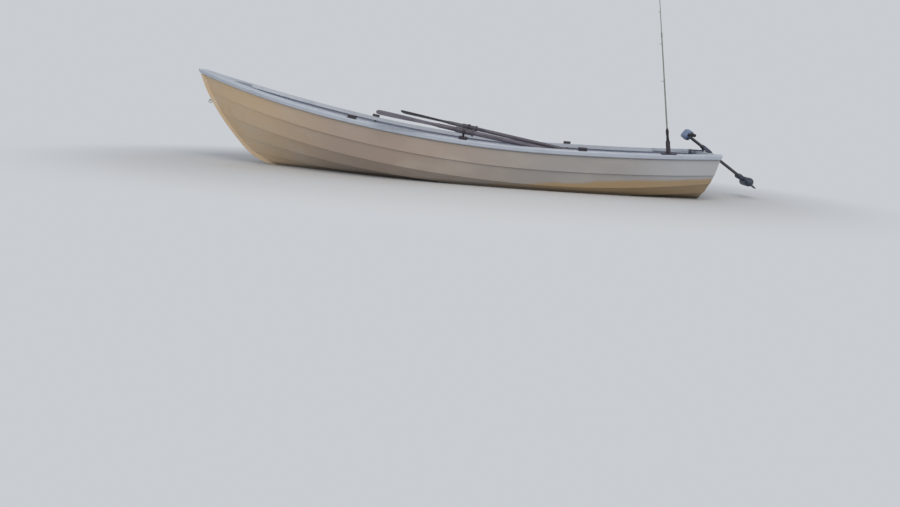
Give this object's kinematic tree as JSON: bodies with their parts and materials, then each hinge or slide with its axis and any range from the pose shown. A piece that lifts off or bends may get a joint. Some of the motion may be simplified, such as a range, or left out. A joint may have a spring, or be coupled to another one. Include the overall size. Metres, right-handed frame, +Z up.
{
  "type": "rowing boat",
  "caption": "Open clinker-style rowing boat with thwarts, gunwale rails, rowlocks and oars, a rod standing in a holder and an electric outboard tilted up at the stern.",
  "frame": {"origin": "on the centre line, half-way along the hull, at the height of still water that the empty boat floats in", "axes": "+X to the bow, +Y to port, +Z up"},
  "size_m": [5.7471, 1.769, 2.6006],
  "materials": {
    "hull_gel": "weathered gelcoat",
    "hull_inside": "weathered gelcoat",
    "rail_white": "satin",
    "seat_wood": "worn varnish",
    "floor_wood": "bare, worn",
    "steel": "dull",
    "black_plastic": "matt",
    "black_rubber": "matt",
    "oar_wood": "weathered",
    "cork_foam": "matt foam",
    "rod_gloss": "gloss",
    "motor_dark": "satin",
    "shaft_grey": "satin"
  },
  "bodies": {
    "boat": {"bow_bulkhead": "hull_inside", "bow_deck": "hull_inside", "bow_eye": "steel", "breasthook": "rail_white", "clamp_bracket": "motor_dark", "clamp_screws": "steel", "drain_plug": "black_plastic", "floor_bearers": "floor_wood", "floor_board_centre": "floor_wood", "floor_boards_port": "floor_wood", "floor_boards_starboard": "floor_wood", "gunwale_port": "rail_white", "gunwale_starboard": "rail_white", "hull_port": "hull_gel", "hull_starboard": "hull_gel", "keel": "hull_gel", "keel_band": "steel", "quarter_knee_port": "rail_white", "quarter_knee_starboard": "rail_white", "rod_blank": "rod_gloss", "rod_handle": "cork_foam", "rod_holder": "black_plastic", "sockets_port": "black_plastic", "sockets_starboard": "black_plastic", "stern_bulkhead": "hull_inside", "stern_seat": "hull_inside", "thwart_aft": "seat_wood", "thwart_cleats": "hull_inside", "thwart_fore": "seat_wood", "thwart_mid": "seat_wood", "tilt_pin": "steel", "transom_board": "hull_gel", "transom_cap": "rail_white", "transom_pads": "black_rubber"},
    "oar_port": {"rowlock_mid_port": "black_plastic", "oar_loom_port": "oar_wood", "oar_blade_port": "oar_wood", "oar_collar_port": "black_rubber"},
    "oar_starboard": {"rowlock_mid_starboard": "black_plastic", "oar_loom_starboard": "oar_wood", "oar_blade_starboard": "oar_wood", "oar_collar_starboard": "black_rubber"},
    "motor_tilting": {"motor_swivel": "motor_dark"},
    "motor_steering": {"motor_shaft": "shaft_grey", "motor_head": "motor_dark", "tiller": "motor_dark", "motor_pod": "motor_dark"},
    "propeller_turning": {"propeller": "black_plastic"}
  },
  "joints": [
    {"name": "oar_port_swing", "type": "hinge", "parent": "boat", "child": "oar_port", "pos_m": [-0.17, 0.69375, 0.42636], "axis": [-0.0718, 0.1206, 0.9901], "range_deg": [0, 12]},
    {"name": "oar_starboard_swing", "type": "hinge", "parent": "boat", "child": "oar_starboard", "pos_m": [-0.17, -0.69375, 0.42636], "axis": [0.0718, 0.1206, -0.9901], "range_deg": [0, 12]},
    {"name": "motor_tilt", "type": "hinge", "parent": "boat", "child": "motor_tilting", "pos_m": [-2.592, -0.19, 0.44], "axis": [0, 1, 0], "range_deg": [-57, 8]},
    {"name": "motor_steer", "type": "hinge", "parent": "motor_tilting", "child": "motor_steering", "pos_m": [-2.60616, -0.19, 0.46181], "axis": [0.8387, 0, 0.5446], "continuous": true},
    {"name": "propeller_spin", "type": "hinge", "parent": "motor_steering", "child": "propeller_turning", "pos_m": [-3.06324, -0.19, 0.16498], "axis": [0, 1, 0], "continuous": true}
  ]
}
